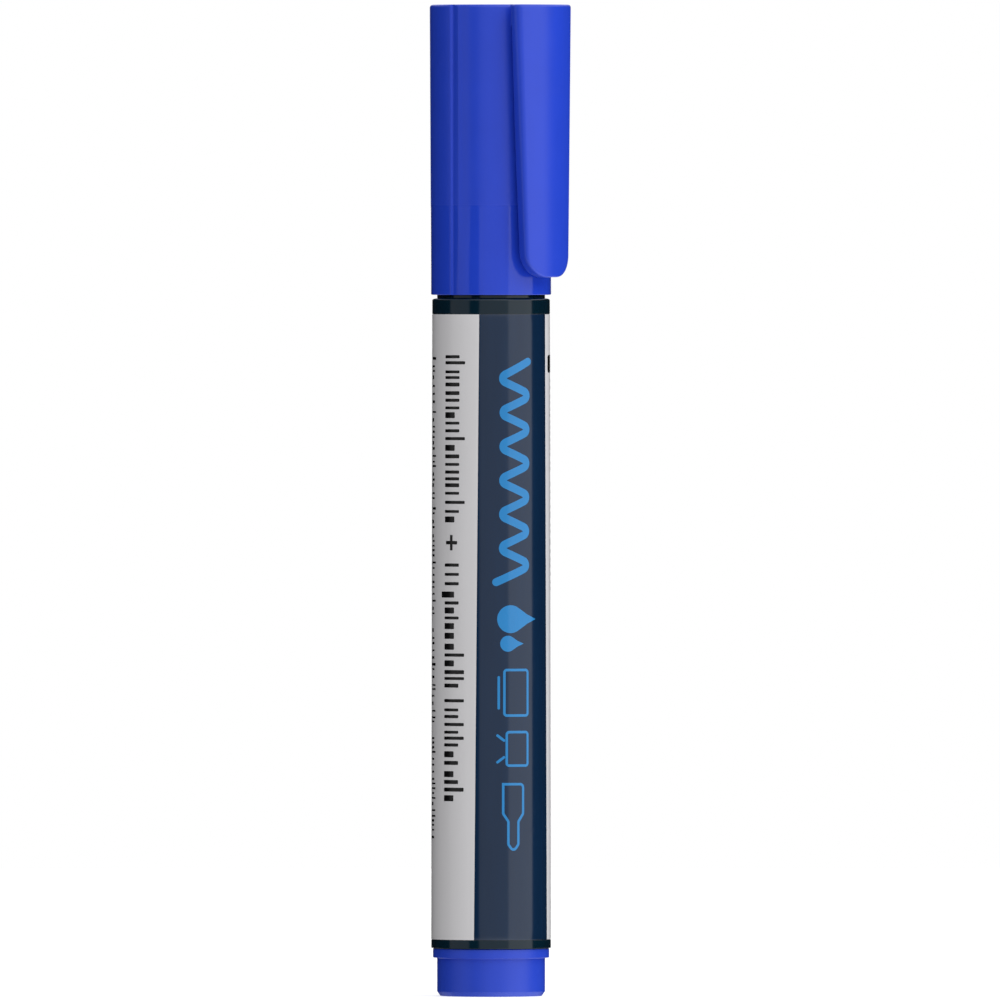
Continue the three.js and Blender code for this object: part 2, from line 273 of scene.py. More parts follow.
def polymer(
    name,
    base,
    rough,
    mottle=0.05,
    grain=0.0,
    grain_scale=14.0,
    peel=0.0,
    scuffs=0.08,
    wear=0.0,
    ior=1.49,
    specular=0.5,
    gloss_below=None,
    gloss_rough=0.12,
    subsurface=0.0,
    coat=0.0,
    seed=0.0,
):
    """Moulded plastic or film. Coordinates are millimetres on the object, so the finish stays with the piece.
    grain and peel are bump heights in millimetres. gloss_below = z gives the round body under that height a polished finish."""
    n = Nodes(name)
    out = n.add("ShaderNodeOutputMaterial")
    bsdf = n.add("ShaderNodeBsdfPrincipled")
    n.tree.links.new(bsdf.outputs[0], out.inputs[0])
    coords = n.add("ShaderNodeTexCoord").outputs["Object"]
    mm = n.scaled(coords, (1000, 1000, 1000), location=(seed, seed * 0.7, seed * 1.3))

    # colour: flow mottling of the pigment, and a paler bloom on worn edges
    cloud = n.noise(mm, 0.16, 3.0, 0.55, 0.3)
    streak = n.noise(n.scaled(mm, (0.9, 0.9, 0.06)), 1.0, 2.0)
    both = n.math("ADD", n.math("MULTIPLY", cloud, 0.65), n.math("MULTIPLY", streak, 0.35))
    value = n.ramp(both, 0.25, 0.75, 1.0 - mottle, 1.0 + mottle)
    hsv = n.add("ShaderNodeHueSaturation")
    n.put(hsv.inputs["Value"], value)
    hsv.inputs["Color"].default_value = base
    colour = hsv.outputs[0]
    if wear > 0:
        point = n.add("ShaderNodeNewGeometry").outputs["Pointiness"]
        edge = n.ramp(point, 0.52, 0.62, 0.0, wear)
        broken = n.ramp(n.noise(mm, 1.7, 3.0), 0.42, 0.62)
        pale = tuple(min(1.0, c * 1.25 + 0.06) for c in base[:3]) + (1.0,)
        colour = n.mix(n.math("MULTIPLY", edge, broken), colour, pale)
    n.put(bsdf.inputs["Base Color"], colour)

    # roughness: polished or satin, with handling marks and hair scratches
    smear = n.ramp(n.noise(mm, 0.35, 4.0, 0.6, 0.8), 0.52, 0.72, 0.0, scuffs)
    fine = n.noise(n.scaled(mm, (5.0, 5.0, 0.22), rotation=(0.12, 0.05, 0.0)), 1.3, 2.0, 0.7)
    hair = n.ramp(fine, 0.68, 0.73, 0.0, scuffs * 0.9)
    hair2 = n.ramp(
        n.noise(n.scaled(mm, (0.35, 0.35, 5.5), rotation=(0.4, 0.25, 0.3)), 1.1, 2.0, 0.7),
        0.7,
        0.74,
        0.0,
        scuffs * 0.7,
    )
    marks = n.math("ADD", smear, n.math("ADD", hair, hair2))
    if gloss_below is not None:
        xyz = n.add("ShaderNodeSeparateXYZ")
        n.put(xyz.inputs[0], coords)
        x, y, z = xyz.outputs
        radius = n.math(
            "SQRT", n.math("ADD", n.math("MULTIPLY", x, x), n.math("MULTIPLY", y, y))
        )
        lowpart = n.ramp(z, gloss_below * MM - 0.00012, gloss_below * MM + 0.00012, 1.0, 0.0)
        body = n.ramp(radius, 8.52 * MM, 8.56 * MM, 1.0, 0.0)
        gloss = n.math("MULTIPLY", lowpart, body)
        level = n.ramp(gloss, 0.0, 1.0, rough, gloss_rough, smooth=False)
        n.put(bsdf.inputs["Roughness"], n.math("ADD", level, marks, clamp=True))
        fade = n.ramp(gloss, 0.0, 1.0, 1.0, 0.12, smooth=False)
    else:
        n.put(bsdf.inputs["Roughness"], n.math("ADD", marks, rough, clamp=True))
        fade = None

    # relief: spark-eroded mould grain, and the slow waviness of a moulded wall
    normal = None
    if peel > 0:
        normal = n.bump(n.noise(mm, 0.55, 1.0, 0.4), peel * MM)
    if grain > 0:
        height = n.noise(mm, grain_scale, 3.0, 0.6)
        if fade is not None:
            height = n.math("MULTIPLY", n.math("SUBTRACT", height, 0.5), fade)
        normal = n.bump(height, grain * MM, normal=normal)
    if scuffs > 0:
        normal = n.bump(n.math("MULTIPLY", hair, -4.0), 0.0012 * MM, normal=normal)
    if normal is not None:
        n.put(bsdf.inputs["Normal"], normal)

    bsdf.inputs["IOR"].default_value = ior
    bsdf.inputs["Specular IOR Level"].default_value = specular
    if coat > 0:
        bsdf.inputs["Coat Weight"].default_value = coat
        bsdf.inputs["Coat Roughness"].default_value = 0.08
    if subsurface > 0:
        bsdf.inputs["Subsurface Weight"].default_value = subsurface
        bsdf.inputs["Subsurface Radius"].default_value = (0.6, 0.8, 1.0)
        bsdf.inputs["Subsurface Scale"].default_value = 0.0012
    return n.block


def fibre(name, base, dark, rough=0.9, bundle=2.6, relief=0.03, along="Z"):
    """Bonded or bundled fibre: strands along the axis, broken up, soaked unevenly with ink."""
    n = Nodes(name)
    out = n.add("ShaderNodeOutputMaterial")
    bsdf = n.add("ShaderNodeBsdfPrincipled")
    n.tree.links.new(bsdf.outputs[0], out.inputs[0])
    coords = n.add("ShaderNodeTexCoord").outputs["Object"]
    mm = n.scaled(coords, (1000, 1000, 1000))
    strands = n.noise(n.scaled(mm, (bundle, bundle, 0.08)), 2.2, 4.0, 0.65, 0.15)
    fine = n.noise(n.scaled(mm, (9.0, 9.0, 0.5)), 1.6, 3.0, 0.7, 0.3)
    soak = n.noise(mm, 0.22, 3.0, 0.6, 0.6)
    shade = n.math("ADD", n.math("MULTIPLY", strands, 0.5), n.math("MULTIPLY", fine, 0.3))
    shade = n.math("ADD", shade, n.math("MULTIPLY", soak, 0.2))
    n.put(bsdf.inputs["Base Color"], n.mix(n.ramp(shade, 0.34, 0.66), dark, base))
    n.put(bsdf.inputs["Roughness"], n.ramp(soak, 0.3, 0.7, rough - 0.25, rough))
    height = n.math("ADD", n.math("MULTIPLY", strands, 0.6), n.math("MULTIPLY", fine, 0.4))
    n.put(bsdf.inputs["Normal"], n.bump(height, relief * MM))
    bsdf.inputs["Sheen Weight"].default_value = 0.25
    bsdf.inputs["Sheen Roughness"].default_value = 0.5
    return n.block


def printed_film(name, base, rough=0.2, screen=0.06, seed=0.0, specular=0.5):
    """The wrap label: print on a plastic film, with a faint coating texture, ink density changes and rub marks."""
    n = Nodes(name)
    out = n.add("ShaderNodeOutputMaterial")
    bsdf = n.add("ShaderNodeBsdfPrincipled")
    n.tree.links.new(bsdf.outputs[0], out.inputs[0])
    coords = n.add("ShaderNodeTexCoord").outputs["Object"]
    mm = n.scaled(coords, (1000, 1000, 1000), location=(seed, seed, seed))
    density = n.noise(n.scaled(mm, (1.0, 1.0, 0.15)), 0.5, 3.0, 0.5)
    specks = n.noise(mm, 9.0, 2.0, 0.6)
    tone = n.math("ADD", n.math("MULTIPLY", density, 0.6), n.math("MULTIPLY", specks, 0.4))
    hsv = n.add("ShaderNodeHueSaturation")
    n.put(hsv.inputs["Value"], n.ramp(tone, 0.3, 0.7, 1.0 - screen, 1.0 + screen))
    hsv.inputs["Color"].default_value = base
    n.put(bsdf.inputs["Base Color"], hsv.outputs[0])
    rub = n.ramp(n.noise(mm, 0.3, 4.0, 0.6, 1.0), 0.55, 0.75, 0.0, 0.07)
    hair = n.ramp(
        n.noise(n.scaled(mm, (4.0, 4.0, 0.3), rotation=(0.1, 0.06, 0)), 1.5, 2.0, 0.7), 0.69, 0.74, 0.0, 0.08
    )
    n.put(bsdf.inputs["Roughness"], n.math("ADD", n.math("ADD", rub, hair), rough, clamp=True))
    web = n.noise(n.scaled(mm, (1.0, 1.0, 0.5)), 1.4, 2.0, 0.5)
    normal = n.bump(web, 0.0006 * MM)
    normal = n.bump(specks, 0.0004 * MM, normal=normal)
    n.put(bsdf.inputs["Normal"], normal)
    bsdf.inputs["IOR"].default_value = 1.49
    bsdf.inputs["Specular IOR Level"].default_value = specular
    return n.block


def clear_wrap(name):
    """The reservoir's film: thin, slightly blue, creased along the axis."""
    n = Nodes(name)
    out = n.add("ShaderNodeOutputMaterial")
    bsdf = n.add("ShaderNodeBsdfPrincipled")
    n.tree.links.new(bsdf.outputs[0], out.inputs[0])
    coords = n.add("ShaderNodeTexCoord").outputs["Object"]
    mm = n.scaled(coords, (1000, 1000, 1000))
    crease = n.noise(n.scaled(mm, (1.2, 1.2, 0.12)), 1.4, 3.0, 0.6, 0.5)
    n.put(bsdf.inputs["Base Color"], n.mix(crease, rgb(0.62, 0.68, 0.8), rgb(0.78, 0.82, 0.9)))
    n.put(bsdf.inputs["Roughness"], n.ramp(crease, 0.3, 0.7, 0.12, 0.34))
    n.put(bsdf.inputs["Normal"], n.bump(crease, 0.02 * MM))
    bsdf.inputs["Alpha"].default_value = 0.45
    return n.block


CAP_BLUE = rgb(0.0195, 0.065, 0.66)
MAT_CAP = polymer(
    "cap_polypropylene",
    CAP_BLUE,
    0.30,
    mottle=0.03,
    grain=0.0016,
    grain_scale=11.0,
    peel=0.0006,
    scuffs=0.05,
    wear=0.25,
    gloss_below=110.6,
    gloss_rough=0.11,
)
MAT_PLUG = polymer(
    "plug_polypropylene", rgb(0.0185, 0.064, 0.625), 0.38, mottle=0.03, grain=0.0016, grain_scale=11.0,
    peel=0.0006, scuffs=0.05, wear=0.25, seed=31.0,
)
MAT_BARREL = polymer(
    "barrel_polypropylene", rgb(0.0020, 0.0180, 0.0335), 0.11, mottle=0.06, grain=0.0, peel=0.0005,
    scuffs=0.05, wear=0.2, seed=57.0,
)
MAT_SEAL = polymer(
    "seal_polyethylene", rgb(0.74, 0.77, 0.78), 0.42, mottle=0.04, grain=0.002, grain_scale=6.0,
    scuffs=0.04, subsurface=0.25, seed=80.0,
)
MAT_LABEL_WHITE = printed_film("label_white_film", rgb(0.775, 0.766, 0.785), 0.16, 0.012)
MAT_LABEL_NAVY = printed_film("label_navy_print", rgb(0.0050, 0.0245, 0.0690), 0.13, 0.06, seed=12.0, specular=0.59)
MAT_INK_BLACK = printed_film("print_black", rgb(0.006, 0.0055, 0.0065), 0.16, 0.1, seed=22.0)
MAT_INK_BLUE = printed_film("print_light_blue", rgb(0.022, 0.245, 0.60), 0.14, 0.03, seed=42.0)
MAT_NIB = fibre("nib_bonded_fibre", rgb(0.035, 0.07, 0.42), rgb(0.008, 0.016, 0.14), 0.88, 2.6, 0.02)
MAT_CORE = fibre("reservoir_fibre", rgb(0.06, 0.1, 0.5), rgb(0.012, 0.022, 0.2), 0.95, 1.4, 0.05)
MAT_FILM = clear_wrap("reservoir_clear_film")

# ------------------------------------------------------------------ end plug


def plug():
    path = fillet(
        [
            (0, 0.06),
            (0.45, 0.06, 0.03),
            (0.6, 0.0, 0.03),
            (7.1, 0.0, 0.1),
            (7.557, 0.64, 0.14),
            (7.557, 5.36, 0.14),
            (8.134, 5.36, 0.09),
            (8.134, 6.66, 0.12),
            (7.24, 6.66),
            (7.24, 8.6),
            (7.06, 8.9),
            (7.06, 10.6),
            (7.24, 10.9),
            (7.24, 12.4, 0.4),
            (6.74, 14.2, 0.1),
            (6.1, 14.2, 0.1),
            (6.1, 1.4, 0.6),
            (0, 1.4),
        ]
    )
    obj = lathe("plug_moulding", subdivide(path, 1.2), even_angles(192))
    obj.data.materials.append(MAT_PLUG)
    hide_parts("end_plug")
    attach(obj, "body")
    return obj


# ------------------------------------------------------------------ barrel


def barrel():
    recess = 0.12
    z0, z1 = LABEL_Z0 - 0.05, LABEL_Z1 + 0.05
    path = fillet(
        [
            (7.3, BARREL_Z0, 0.05),
            (BARREL_R0, BARREL_Z0, 0.06),
            (barrel_r(z0), z0, 0.03),
            (barrel_r(z0) - recess, z0),
            (barrel_r(z1) - recess, z1),
            (barrel_r(z1), z1, 0.03),
            (BARREL_R1, SHOULDER_Z, 0.32),
            (7.57, SHOULDER_Z, 0.12),
            (7.57, 107.6, 0.45),
            (6.2, 107.95, 0.2),
            (5.6, 109.2, 0.2),
            (5.6, 113.6, 0.2),
            (5.05, 114.3, 0.3),
            (3.35, 124.4, 0.3),
            (2.28, 124.4, 0.06),
            (2.28, 112.6),
            (4.2, 108.6),
            (6.4, 106.2),
            (6.4, 95.6),
            (7.3, 95.6),
        ],
        closed=True,
    )
    obj = lathe("barrel_moulding", subdivide(path, 3.0, closed=True), even_angles(216), closed=True)
    obj.data.materials.append(MAT_BARREL)
    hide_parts("barrel")
    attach(obj, "body")
    return obj


# ------------------------------------------------------------------ label

# Angles are round the barrel from the clip's direction, in degrees. Each edge is given at the label's top and bottom.
NAVY_LEFT = (-59.6, -64.6)
NAVY_RIGHT = (18.1, 20.5)
SEAM = 168.0


def down(z):
    """0 at the label's top edge, 1 at its bottom edge."""
    return (LABEL_Z1 - z) / (LABEL_Z1 - LABEL_Z0)


def label():
    """One wrapped film, closed with a narrow overlap at the back. Its columns follow the printed panel's edges."""
    overlap = 9.0  # degrees
    step = 0.045  # how far the overlapping end stands up
    thick = 0.09
    cols = []  # (angle at top, angle at bottom, lift, panel)

    def run(a0, a1, b0, b1, count, panel, lift0=0.0, lift1=0.0):
        for i in range(count + 1):
            t = i / count
            cols.append((a0 + (a1 - a0) * t, b0 + (b1 - b0) * t, lift0 + (lift1 - lift0) * t, panel))

    start = SEAM - 360.0
    run(start, NAVY_LEFT[0], start, NAVY_LEFT[1], 80, 0)
    cols.pop()
    run(NAVY_LEFT[0], NAVY_RIGHT[0], NAVY_LEFT[1], NAVY_RIGHT[1], 52, 1)
    cols.pop()
    run(NAVY_RIGHT[0], SEAM - 1.2, NAVY_RIGHT[1], SEAM - 1.2, 90, 0)
    run(SEAM - 0.9, SEAM - 0.1, SEAM - 0.9, SEAM - 0.1, 3, 0, 0.01, step - 0.004)
    run(SEAM + 0.3, SEAM + overlap, SEAM + 0.3, SEAM + overlap, 6, 0, step, step)
    zs = [LABEL_Z0 + (LABEL_Z1 - LABEL_Z0) * t for t in (0, 0.0006, 0.02, 0.1, 0.25, 0.4, 0.55, 0.7, 0.85, 0.98, 0.9994, 1)]
    verts, faces, slots = [], [], []
    grid = {}
    for layer in (0, 1):  # outer face, inner face
        for c, (at, ab, lift, _) in enumerate(cols):
            for k, z in enumerate(zs):
                a = math.radians(at + (ab - at) * down(z))
                edge = 0.02 if k in (0, len(zs) - 1) else 0.0
                r = barrel_r(z) + lift - (edge if layer == 0 else thick * (1.0 if lift == 0 else 0.42))
                grid[layer, c, k] = len(verts)
                verts.append((r * math.cos(a) * MM, r * math.sin(a) * MM, z * MM))
    n, m = len(cols), len(zs)
    for c in range(n - 1):
        navy = cols[c][3] == 1 and cols[c + 1][3] in (0, 1) and cols[c][0] < NAVY_RIGHT[0] - 1e-6
        for k in range(m - 1):
            faces.append((grid[0, c, k], grid[0, c + 1, k], grid[0, c + 1, k + 1], grid[0, c, k + 1]))
            slots.append(1 if navy else 0)
            faces.append((grid[1, c, k + 1], grid[1, c + 1, k + 1], grid[1, c + 1, k], grid[1, c, k]))
            slots.append(0)
        for k in (0, m - 1):
            q = (grid[1, c, k], grid[1, c + 1, k], grid[0, c + 1, k], grid[0, c, k])
            faces.append(q if k == 0 else q[::-1])
            slots.append(0)
    for c in (0, n - 1):
        for k in range(m - 1):
            q = (grid[0, c, k], grid[0, c, k + 1], grid[1, c, k + 1], grid[1, c, k])
            faces.append(q if c == 0 else q[::-1])
            slots.append(0)
    obj = mesh_object("label_wrap", verts, faces)
    obj.data.materials.append(MAT_LABEL_WHITE)
    obj.data.materials.append(MAT_LABEL_NAVY)
    if len(obj.data.polygons) != len(slots):
        raise RuntimeError("the label's faces changed")
    obj.data.polygons.foreach_set("material_index", slots)
    obj.data.update()
    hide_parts("barrel_label")
    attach(obj, "body")
    return obj


# ------------------------------------------------------------------ print on the label
# Plain shapes only. A shape is drawn flat: a runs down the label, in mm from its top edge, and h is up for a reader
# who holds the marker with the cap to the left, in mm from the line's foot.


class Print:
    """Thin closed solids of ink on the label, from flat shapes."""

    def __init__(self, name, material, slot):
        self.name, self.material, self.slot = name, material, slot
        self.bm = bmesh.new()
        self.foot = (0.0, 0.0)  # the line's foot, in degrees, at the label's top and bottom

    def face(self, points):
        vs = [self.bm.verts.new((a, h, 0.0)) for a, h in points]
        return self.bm.faces.new(vs)

    def to_angle(self, a, h):
        z = LABEL_Z1 - a
        t = down(z)
        foot = self.foot[0] + (self.foot[1] - self.foot[0]) * t
        return foot + math.degrees(h / 8.33)

    def shape(self, points):
        """A filled outline."""
        self.face([(a, self.to_angle(a, h)) for a, h in points])

    def block(self, a0, a1, h0, h1, r=0.2):
        r = min(r, (a1 - a0) / 2 * 0.99, (h1 - h0) / 2 * 0.99)
        pts = []
        for ca, ch, s in ((a1 - r, h1 - r, 0), (a0 + r, h1 - r, 90), (a0 + r, h0 + r, 180), (a1 - r, h0 + r, 270)):
            for k in range(5):
                t = math.radians(s + 90 * k / 4)
                pts.append((ca + r * math.cos(t), ch + r * math.sin(t)))
        self.shape(pts)

    def disc(self, a, h, r, steps=28):
        self.shape([(a + r * math.cos(2 * math.pi * k / steps), h + r * math.sin(2 * math.pi * k / steps)) for k in range(steps)])

    def stroke(self, line, width, closed=False):
        """A pen stroke of even width along a line, with round ends, as one strip of quads."""
        line = [np.array(p, float) for p in line]
        n = len(line)
        left, right = [], []
        for i, p in enumerate(line):
            before = line[i - 1] if (i > 0 or closed) else None
            after = line[(i + 1) % n] if (i < n - 1 or closed) else None
            d0 = (p - before) if before is not None else (after - p)
            d1 = (after - p) if after is not None else d0
            d0, d1 = d0 / np.linalg.norm(d0), d1 / np.linalg.norm(d1)
            m = d0 + d1
            m = m / np.linalg.norm(m)
            normal = np.array([-m[1], m[0]])
            reach = width / 2 / max(0.35, float(m @ d0))
            left.append(p + normal * reach)
            right.append(p - normal * reach)
        for side in (left, right):
            for i, p in enumerate(side):
                side[i] = self.bm.verts.new((p[0], self.to_angle(p[0], p[1]), 0.0))
        count = n if closed else n - 1
        for i in range(count):
            j = (i + 1) % n
            self.bm.faces.new((left[i], right[i], right[j], left[j]))
        if not closed:
            for i, q, flip in ((0, line[1], 1), (n - 1, line[-2], -1)):
                p = line[i]
                d = (p - q) / np.linalg.norm(p - q)
                normal = np.array([-d[1], d[0]])
                fan = []
                for k in range(1, 8):
                    t = math.pi * k / 8
                    c = p + (normal * math.cos(t) + d * math.sin(t)) * width / 2
                    fan.append(self.bm.verts.new((c[0], self.to_angle(c[0], c[1]), 0.0)))
                # normal points to the right side at the start and to the left side at the end
                a, b = (right[i], left[i]) if flip > 0 else (left[i], right[i])
                self.bm.faces.new([a, *fan, b] if flip < 0 else [a, *fan, b])

    def build(self, proud=0.012, sunk=0.03):
        bm = self.bm
        hs = [v.co.y for v in bm.verts]
        a = math.floor(min(hs) / 2.0) * 2.0
        while a < max(hs):
            geom = list(bm.verts) + list(bm.edges) + list(bm.faces)
            bmesh.ops.bisect_plane(bm, geom=geom, dist=1e-6, plane_co=(0, a, 0), plane_no=(0, 1, 0))
            a += 2.0
        top = list(bm.faces)
        bmesh.ops.recalc_face_normals(bm, faces=top)
        made = bmesh.ops.extrude_face_region(bm, geom=top, use_keep_orig=True)
        up = {e for e in made["geom"] if isinstance(e, bmesh.types.BMVert)}
        for v in bm.verts:
            z = LABEL_Z1 - v.co.x
            angle = math.radians(v.co.y)
            r = barrel_r(z) + (proud if v in up else -sunk)
            v.co = Vector((r * math.cos(angle) * MM, r * math.sin(angle) * MM, z * MM))
        bmesh.ops.recalc_face_normals(bm, faces=bm.faces)
        mesh = bpy.data.meshes.new(self.name)
        bm.to_mesh(mesh)
        bm.free()
        finish_shading(mesh, 40.0)
        mesh.materials.append(self.material)
        obj = bpy.data.objects.new(self.name, mesh)
        scene.collection.objects.link(obj)
        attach(obj, "body")
        return obj


def pxy(y):
    """Down-label distance in mm of a height given as a design row, 0.14 mm a row."""
    return LABEL_Z1 - (995.8 - y) * 0.14


def bars(p, y0, y1, height, seed, thin=0.46, gap=0.44, tall=1.34, low=0.0):
    """A word's worth of plain upright bars in place of a word: uneven widths and gaps, some bars taller."""
    rng = np.random.RandomState(seed)
    a0, a1 = pxy(y0), pxy(y1)
    run = []
    while sum(w + g for w, g in run) < a1 - a0:
        run.append((thin * float(rng.choice([0.9, 1.0, 1.0, 1.25, 1.9])), gap * float(rng.choice([0.8, 1.0, 1.3, 1.7]))))
    stretch = (a1 - a0) / (sum(w + g for w, g in run) - run[-1][1])
    a = a0
    for w, g in run:
        top = height * (tall if rng.rand() < 0.25 else 1.0)
        foot = -low if rng.rand() < 0.12 else 0.0
        if w > thin * 1.5:
            # a short, wide bar
            top = height * 0.7
        p.block(a, a + w * stretch, foot, top, r=min(0.12, w * 0.3))
        a += (w + g) * stretch


def drop(p, a, h, r):
    """An ink drop, with its point up."""
    pts = []
    for k in range(41):
        t = math.radians(-215 + 250 * k / 40)
        pts.append((a + r * math.cos(t), h + r * math.sin(t)))
    tip = (a, h + r * 2.15)
    pts.append((a + r * 0.34, h + r * 1.32))
    pts.append(tip)
    pts.append((a - r * 0.34, h + r * 1.32))
    p.shape(pts)


def box_line(a0, a1, h0, h1, r=0.5, steps=5):
    pts = []
    for ca, ch, s in ((a1 - r, h1 - r, 0), (a0 + r, h1 - r, 90), (a0 + r, h0 + r, 180), (a1 - r, h0 + r, 270)):
        for k in range(steps + 1):
            t = math.radians(s + 90 * k / steps)
            pts.append((ca + r * math.cos(t), ch + r * math.sin(t)))
    return pts


def smooth_line(corners, r=0.6, steps=6):
    """A line through corners, each rounded."""
    return [p for p in fillet([(a, h, r) for a, h in corners], step_deg=90.0 / steps)]


def prints():
    black = Print("label_print_black", MAT_INK_BLACK, "label_film")
    # the large line beside the panel: three groups of blocks, with a plus between the first two
    black.foot = (-98.2, -100.3)
    bars(black, 355.0, 522.0, 2.65, 3, thin=0.43, gap=0.5)
    plus = (pxy(534.5) + pxy(550)) / 2
    black.block(plus - 0.24, plus + 0.24, 0.25, 2.35, r=0.08)
    black.block(plus - 1.08, plus - 0.245, 1.06, 1.54, r=0.08)
    black.block(plus + 0.245, plus + 1.08, 1.06, 1.54, r=0.08)
    bars(black, 563.0, 687.0, 2.65, 11, thin=0.43, gap=0.5, low=0.7)
    bars(black, 698.5, 800.5, 2.65, 18, thin=0.43, gap=0.5)
    # the small line under it
    black.foot = (-128.2, -129.0)
    for i, (y0, y1) in enumerate(
        ((357, 403), (411, 499), (507, 528), (534, 614), (628, 651), (656, 678), (684, 722), (737, 838))
    ):
        bars(black, y0, y1, 1.25, 40 + i, thin=0.26, gap=0.42, tall=1.4, low=0.35)
    # the far side: a mark, a heading line, a paragraph, and a field of plain bars
    black.foot = (24.6, 24.6)
    black.block(pxy(355.0), pxy(372.5), 0.0, 3.9, r=0.45)
    black.foot = (37.0, 37.0)
    bars(black, 379.0, 470.0, 2.0, 60)
    bars(black, 482.0, 590.0, 2.0, 61)
    for row in range(6):
        black.foot = (62.0 + 11.2 * row, 62.0 + 11.2 * row)
        rng = np.random.RandomState(80 + row)
        y, end = 357.0, 800.0 if row < 5 else 610.0
        while y < end - 24:
            length = float(rng.choice([26, 38, 52, 66, 84]))
            bars(black, y, min(y + length, end), 0.95, 100 + row * 20 + int(y) % 19, thin=0.2, gap=0.3, tall=1.35, low=0.22)
            y += length + 9.0
    rng = np.random.RandomState(7)
    black.foot = (142.0, 142.0)
    a = pxy(640.0)
    while a < pxy(800.0):
        w = float(rng.choice([0.2, 0.2, 0.4, 0.6]))
        black.block(a, a + w, -3.6, 0.9, r=0.02)
        a += w + float(rng.choice([0.2, 0.3, 0.5]))
    black.build()

    blue = Print("label_print_blue", MAT_INK_BLUE, "label_film")
    # a broad back-and-forth marker stroke, as when a patch is filled in
    blue.foot = (-40.4, -43.5)
    a0, a1 = pxy(359.0), pxy(584.0)
    turns = 13
    corners = []
    for i in range(turns + 1):
        a = a0 + 0.35 + (a1 - a0 - 0.7) * i / turns
        corners.append((a, (5.2, -0.2)[i % 2] if i else 4.5))
    blue.stroke(smooth_line(corners, r=0.62, steps=7), 1.12)
    # two ink drops
    blue.foot = (-43.0, -44.0)
    drop(blue, pxy(618.5), 2.15, 1.95)
    drop(blue, pxy(643.0), 1.75, 1.12)
    # thin pictograms: a board on its tray, a flip chart on its legs, a bullet tip
    blue.foot = (-42.4, -43.4)
    w = 0.36
    b0, b1 = pxy(668.0), pxy(716.0)
    blue.stroke(box_line(b0 + w / 2, b1 - w / 2, 1.15, 4.75, 0.35), w, closed=True)
    blue.stroke([(b0 + 1.2, 0.35), (b1 - 1.2, 0.35)], w)
    c0, c1 = pxy(730.0), pxy(766.0)
    blue.stroke(box_line(c0 + w / 2, c1 - w / 2, 1.5, 4.75, 0.35), w, closed=True)
    blue.stroke([(c0 + 1.35, 1.1), (c0 + 0.65, 0.18)], w)
    blue.stroke([(c1 - 1.35, 1.1), (c1 - 0.65, 0.18)], w)
    d0, d1 = pxy(782.0), pxy(852.0)
    tip = smooth_line(
        [(d0 + w / 2, 1.0), (d0 + 4.3, 1.0), (d0 + 5.4, 1.75), (d1 - 1.2, 1.75), (d1 - w / 2, 2.5), (d1 - 1.2, 3.25),
         (d0 + 5.4, 3.25), (d0 + 4.3, 4.0), (d0 + w / 2, 4.0), (d0 + w / 2, 1.6)],
        r=0.45, steps=4,
    )
    blue.stroke(tip[:-1], w, closed=True)
    blue.build()


# ------------------------------------------------------------------ nib and reservoir


def ink_parts():
    pts = [(0, 84.0), (1.6, 84.0, 0.2), (2.2, 84.9, 0.3), (2.2, 126.5)]
    path = fillet(pts)
    for i in range(1, 15):
        a = math.pi / 2 * i / 14
        path.append((2.2 * math.cos(a) ** 0.85 if i < 14 else 0.0, 126.5 + 2.7 * math.sin(a)))
    nib = lathe("nib_fibre_rod", subdivide(path, 2.0), even_angles(96), push=lambda r, z, a: r - 0.012 * (1 + math.sin(23 * a)) * min(1.0, r / 2.2), smooth_deg=60)
    nib.data.materials.append(MAT_NIB)
    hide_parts("nib")
    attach(nib, "body")

    core = lathe(
        "reservoir_fibre_rod",
        subdivide(fillet([(0, 14.6), (6.85, 14.6, 0.3), (6.85, 95.2, 0.3), (2.32, 95.2, 0.1), (2.32, 83.6), (0, 83.6)]), 3.0),
        even_angles(144),
        push=lambda r, z, a: r - 0.02 * (1 + math.sin(31 * a)) * (1.0 if r > 6.6 else 0.0),
        smooth_deg=50,
    )
    core.data.materials.append(MAT_CORE)
    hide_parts("reservoir_core")
    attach(core, "body")

    wrap = lathe(
        "reservoir_film_tube",
        subdivide([(6.9, 14.6), (6.98, 14.6), (6.98, 95.2), (6.9, 95.2)], 2.0, closed=True),
        even_angles(160),
        closed=True,
        push=lambda r, z, a: r + 0.012 * math.sin(5 * a + 0.31 * z) * math.sin(0.53 * z + 2 * a),
        smooth_deg=40,
    )
    wrap.data.materials.append(MAT_FILM)
    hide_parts("reservoir_film")
    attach(wrap, "body")


# ------------------------------------------------------------------ inner seal of the cap


def seal():
    path = fillet(
        [
            (5.66, 110.3, 0.15),
            (6.45, 110.3, 0.2),
            (6.45, 111.75, 0.1),
            (7.25, 111.75, 0.15),
            (7.25, 113.0, 0.15),
            (6.3, 113.0, 0.3),
            (6.3, 134.4, 0.3),
            (5.2, 135.95, 0.3),
            (5.2, 137.15, 0.15),
            (0, 137.15),
            (0, 135.1),
            (5.25, 135.1, 0.7),
            (5.25, 114.7, 0.2),
            (5.66, 114.2, 0.2),
        ],
        closed=True,
    )
    obj = lathe("cap_seal_cup", subdivide(path, 2.0, closed=True), even_angles(144), closed=True)
    obj.data.materials.append(MAT_SEAL)
    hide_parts("cap_liner")
    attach(obj, "seal")
    return obj


# ------------------------------------------------------------------ cap and clip


def flare(z):
    return CAP_R_RIM if z <= CAP_FLARE_Z else CAP_R_RIM + (CAP_R_TOP - CAP_R_RIM) * (z - CAP_FLARE_Z) / (CAP_TOP_Z - CAP_FLARE_Z)


